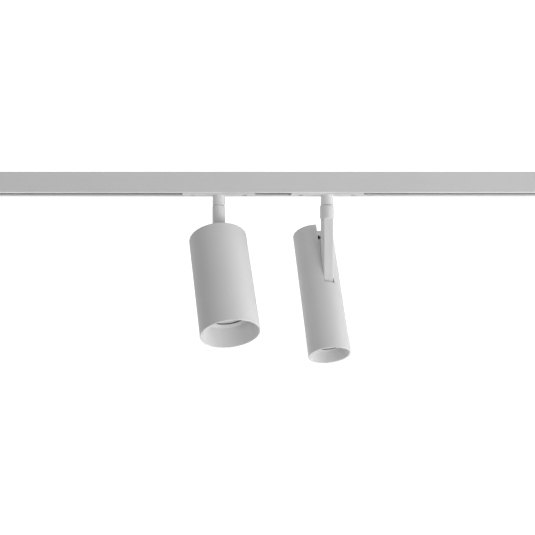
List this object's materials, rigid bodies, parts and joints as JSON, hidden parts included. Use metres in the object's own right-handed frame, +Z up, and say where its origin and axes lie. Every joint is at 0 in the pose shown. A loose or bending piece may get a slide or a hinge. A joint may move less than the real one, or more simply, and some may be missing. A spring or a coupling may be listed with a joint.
{
  "type": "track lighting fixture",
  "caption": "Surface-mounted lighting track with a wide and a slim cylindrical spotlight, each on a sliding adapter that pans and tilts.",
  "frame": {"origin": "centre of the rail's top (ceiling) face", "axes": "+X along the rail towards its dead end, +Y away from the side the lamps lean to, +Z up into the ceiling"},
  "size_m": [0.6724, 0.128, 0.1885],
  "materials": {
    "rail_white": "matt white powder coat on an aluminium extrusion",
    "coated_metal": "fine matt white powder coat",
    "white_plastic": "satin white moulded plastic",
    "grey_plastic": "grey moulded insulator",
    "copper": "bare copper strip",
    "plated_steel": "zinc-plated steel",
    "ceramic": "off-white ceramic",
    "lamp_shell": "white lamp housing",
    "lens_glass": "frosted lens"
  },
  "bodies": {
    "track": {"track_rail": "rail_white", "insulator_rear": "grey_plastic", "insulator_front": "grey_plastic", "live_conductor": "copper", "neutral_conductor": "copper", "earth_strip": "plated_steel", "end_cap": "white_plastic", "end_screws": "plated_steel", "feed_housing": "white_plastic", "feed_cover": "white_plastic", "terminal_block": "ceramic", "terminal_screws": "plated_steel", "feed_contacts": "copper", "cable_gland": "white_plastic"},
    "adapter_1": {"adapter_housing_1": "white_plastic", "face_plate_1": "white_plastic", "earth_spring_1": "copper", "stem_stub_1": "coated_metal"},
    "lock_1": {"lock_cam_1": "plated_steel"},
    "contact_1": {"contact_rotor_1": "grey_plastic", "contact_tips_1": "copper"},
    "swivel_1": {"swivel_sleeve_1": "coated_metal", "hinge_bar_1": "coated_metal", "swivel_tube_1": "plated_steel", "swivel_nut_1": "plated_steel", "swivel_washer_1": "plated_steel"},
    "adapter_2": {"adapter_housing_2": "white_plastic", "face_plate_2": "white_plastic", "earth_spring_2": "copper", "stem_stub_2": "coated_metal"},
    "lock_2": {"lock_cam_2": "plated_steel"},
    "contact_2": {"contact_rotor_2": "grey_plastic", "contact_tips_2": "copper"},
    "swivel_2": {"swivel_sleeve_2": "coated_metal", "hinge_arm_2": "coated_metal", "swivel_tube_2": "plated_steel", "swivel_nut_2": "plated_steel", "swivel_washer_2": "plated_steel"},
    "head_1": {"head_tube_1": "coated_metal", "top_cap_1": "coated_metal", "hinge_bracket_1": "plated_steel", "bracket_screws_1": "plated_steel", "pivot_pin_1": "plated_steel", "lampholder_1": "ceramic", "holder_spacers_1": "plated_steel", "lamp_body_1": "lamp_shell", "lamp_pins_1": "plated_steel", "lamp_lens_1": "lens_glass", "baffle_ring_1": "coated_metal"},
    "head_2": {"head_tube_2": "coated_metal", "top_cap_2": "coated_metal", "slot_liner_2": "coated_metal", "liner_screws_2": "plated_steel", "pivot_pin_2": "plated_steel", "lampholder_2": "ceramic", "holder_spacers_2": "plated_steel", "lamp_body_2": "lamp_shell", "lamp_pins_2": "plated_steel", "lamp_lens_2": "lens_glass", "baffle_ring_2": "coated_metal"}
  },
  "joints": [
    {"name": "adapter_1_slide", "type": "slide", "parent": "track", "child": "adapter_1", "axis": [1, 0, 0], "range_m": [-0.19, 0.015]},
    {"name": "lock_1_turn", "type": "hinge", "parent": "adapter_1", "child": "lock_1", "pos_m": [-0.0801, 0, -0.0168], "axis": [0, 0, 1], "range_deg": [0, 90]},
    {"name": "contact_1_turn", "type": "hinge", "parent": "adapter_1", "child": "contact_1", "pos_m": [-0.0281, 0, -0.0168], "axis": [0, 0, 1], "range_deg": [0, 90]},
    {"name": "head_1_pan", "type": "hinge", "parent": "adapter_1", "child": "swivel_1", "pos_m": [-0.0541, 0, -0.031], "axis": [0, 0, 1], "range_deg": [-165, 165]},
    {"name": "head_1_tilt", "type": "hinge", "parent": "swivel_1", "child": "head_1", "pos_m": [-0.0541, 0, -0.0724], "axis": [-0.9593, -0.2823, 0], "range_deg": [-74.7, 15.3]},
    {"name": "adapter_2_slide", "type": "slide", "parent": "track", "child": "adapter_2", "axis": [1, 0, 0], "range_m": [-0.015, 0.19]},
    {"name": "lock_2_turn", "type": "hinge", "parent": "adapter_2", "child": "lock_2", "pos_m": [0.0801, 0, -0.0168], "axis": [0, 0, 1], "range_deg": [0, 90]},
    {"name": "contact_2_turn", "type": "hinge", "parent": "adapter_2", "child": "contact_2", "pos_m": [0.0281, 0, -0.0168], "axis": [0, 0, 1], "range_deg": [0, 90]},
    {"name": "head_2_pan", "type": "hinge", "parent": "adapter_2", "child": "swivel_2", "pos_m": [0.0541, 0, -0.031], "axis": [0, 0, 1], "range_deg": [-165, 165]},
    {"name": "head_2_tilt", "type": "hinge", "parent": "swivel_2", "child": "head_2", "pos_m": [0.0541, 0, -0.1052], "axis": [-0.9751, -0.2215, 0], "range_deg": [-26, 64]}
  ]
}
